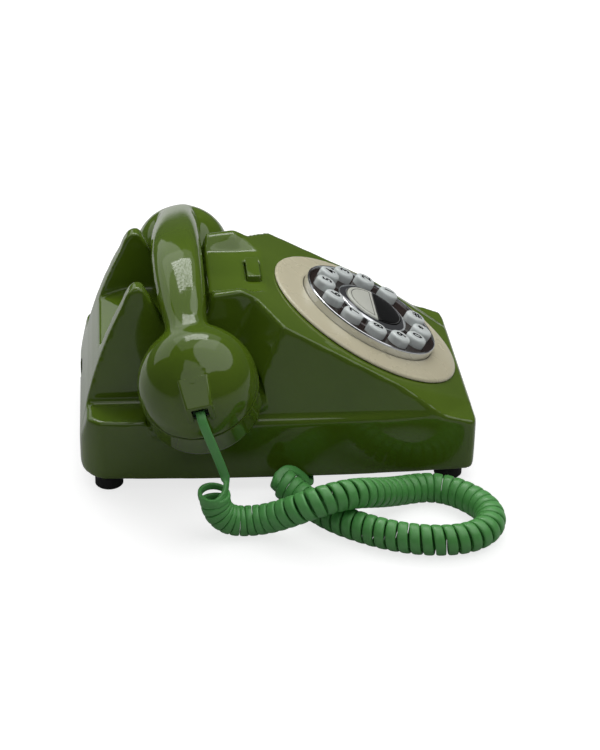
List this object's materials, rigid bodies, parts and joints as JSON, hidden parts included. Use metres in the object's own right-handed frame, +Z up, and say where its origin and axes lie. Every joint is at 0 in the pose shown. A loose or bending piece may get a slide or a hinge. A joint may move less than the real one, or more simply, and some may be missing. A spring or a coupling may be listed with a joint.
{
  "type": "desk telephone",
  "caption": "Corded desk telephone: sloping case with a ring of push keys like a rotary dial, a handset with domed cups on a cradle, and a curly cord.",
  "frame": {"origin": "on the table, under the middle of the case", "axes": "+X to the user's right along the handset, -Y to the front with the dial, +Z up"},
  "size_m": [0.2543, 0.2172, 0.116],
  "materials": {
    "green_plastic": "glossy moulded plastic",
    "black_plastic": "glossy",
    "black_rubber": "matt",
    "steel": "zinc plated",
    "cream_plastic": "semi-gloss",
    "chrome": "polished plating",
    "brown_plastic": "glossy",
    "white_plastic": "glossy",
    "silicone_rubber": "matt",
    "circuit_board": "coated laminate",
    "clear_plastic": "smoky translucent",
    "green_cord": "soft vinyl"
  },
  "bodies": {
    "base": {"case_shell": "green_plastic", "base_plate": "black_plastic", "rubber_feet": "black_rubber", "base_screws": "steel", "dial_plate": "cream_plastic", "keypad_bezel": "chrome", "keypad_face": "brown_plastic", "hub_ring": "chrome", "key_mat": "silicone_rubber", "keypad_board": "circuit_board", "keypad_screws": "steel", "recall_switch": "circuit_board", "hook_switch": "brown_plastic", "main_board": "circuit_board", "sounder": "black_plastic", "ballast_plate": "steel", "line_socket": "black_plastic", "cord_socket": "black_plastic", "plug_base": "clear_plastic", "handset_cord": "green_cord"},
    "handset": {"handset_shell": "green_plastic", "mouthpiece_cap": "green_plastic", "earpiece_cap": "green_plastic", "microphone": "steel", "receiver": "steel", "handset_socket": "black_plastic", "plug_handset": "clear_plastic"},
    "hook": {"hook_plungers": "black_plastic", "hook_bar": "black_plastic"},
    "recall": {"recall_button": "green_plastic"},
    "hub_upper": {"hub_cream_button": "cream_plastic"},
    "hub_lower": {"hub_black_button": "black_plastic"},
    "key_1_body": {"key_1": "white_plastic"},
    "key_2_body": {"key_2": "white_plastic"},
    "key_3_body": {"key_3": "white_plastic"},
    "key_4_body": {"key_4": "white_plastic"},
    "key_5_body": {"key_5": "white_plastic"},
    "key_6_body": {"key_6": "white_plastic"},
    "key_7_body": {"key_7": "white_plastic"},
    "key_8_body": {"key_8": "white_plastic"},
    "key_9_body": {"key_9": "white_plastic"},
    "key_0_body": {"key_0": "white_plastic"},
    "key_star_body": {"key_star": "white_plastic"},
    "key_hash_body": {"key_hash": "white_plastic"}
  },
  "joints": [
    {"name": "handset_lift", "type": "slide", "parent": "base", "child": "handset", "axis": [0, 0, 1], "range_m": [0, 0.12], "deforming": ["handset_cord"]},
    {"name": "hook_rise", "type": "slide", "parent": "base", "child": "hook", "axis": [0, 0, 1], "range_m": [0, 0.005]},
    {"name": "recall_press", "type": "slide", "parent": "base", "child": "recall", "axis": [0, 0, -1], "range_m": [0, 0.002], "stiffness_N_per_m": 500, "springref_m": -0.0015},
    {"name": "hub_upper_press", "type": "slide", "parent": "base", "child": "hub_upper", "axis": [0, 0.4772, -0.8788], "range_m": [0, 0.0015], "stiffness_N_per_m": 500, "springref_m": -0.0015},
    {"name": "hub_lower_press", "type": "slide", "parent": "base", "child": "hub_lower", "axis": [0, 0.4772, -0.8788], "range_m": [0, 0.0015], "stiffness_N_per_m": 500, "springref_m": -0.0015},
    {"name": "key_1_press", "type": "slide", "parent": "base", "child": "key_1_body", "axis": [0, 0.4772, -0.8788], "range_m": [0, 0.0018], "stiffness_N_per_m": 400, "springref_m": -0.0015},
    {"name": "key_2_press", "type": "slide", "parent": "base", "child": "key_2_body", "axis": [0, 0.4772, -0.8788], "range_m": [0, 0.0018], "stiffness_N_per_m": 400, "springref_m": -0.0015},
    {"name": "key_3_press", "type": "slide", "parent": "base", "child": "key_3_body", "axis": [0, 0.4772, -0.8788], "range_m": [0, 0.0018], "stiffness_N_per_m": 400, "springref_m": -0.0015},
    {"name": "key_4_press", "type": "slide", "parent": "base", "child": "key_4_body", "axis": [0, 0.4772, -0.8788], "range_m": [0, 0.0018], "stiffness_N_per_m": 400, "springref_m": -0.0015},
    {"name": "key_5_press", "type": "slide", "parent": "base", "child": "key_5_body", "axis": [0, 0.4772, -0.8788], "range_m": [0, 0.0018], "stiffness_N_per_m": 400, "springref_m": -0.0015},
    {"name": "key_6_press", "type": "slide", "parent": "base", "child": "key_6_body", "axis": [0, 0.4772, -0.8788], "range_m": [0, 0.0018], "stiffness_N_per_m": 400, "springref_m": -0.0015},
    {"name": "key_7_press", "type": "slide", "parent": "base", "child": "key_7_body", "axis": [0, 0.4772, -0.8788], "range_m": [0, 0.0018], "stiffness_N_per_m": 400, "springref_m": -0.0015},
    {"name": "key_8_press", "type": "slide", "parent": "base", "child": "key_8_body", "axis": [0, 0.4772, -0.8788], "range_m": [0, 0.0018], "stiffness_N_per_m": 400, "springref_m": -0.0015},
    {"name": "key_9_press", "type": "slide", "parent": "base", "child": "key_9_body", "axis": [0, 0.4772, -0.8788], "range_m": [0, 0.0018], "stiffness_N_per_m": 400, "springref_m": -0.0015},
    {"name": "key_0_press", "type": "slide", "parent": "base", "child": "key_0_body", "axis": [0, 0.4772, -0.8788], "range_m": [0, 0.0018], "stiffness_N_per_m": 400, "springref_m": -0.0015},
    {"name": "key_star_press", "type": "slide", "parent": "base", "child": "key_star_body", "axis": [0, 0.4772, -0.8788], "range_m": [0, 0.0018], "stiffness_N_per_m": 400, "springref_m": -0.0015},
    {"name": "key_hash_press", "type": "slide", "parent": "base", "child": "key_hash_body", "axis": [0, 0.4772, -0.8788], "range_m": [0, 0.0018], "stiffness_N_per_m": 400, "springref_m": -0.0015}
  ],
  "couplings": [
    {"joint": "hook_rise", "follows": "handset_lift", "ratio": 0.041667}
  ]
}
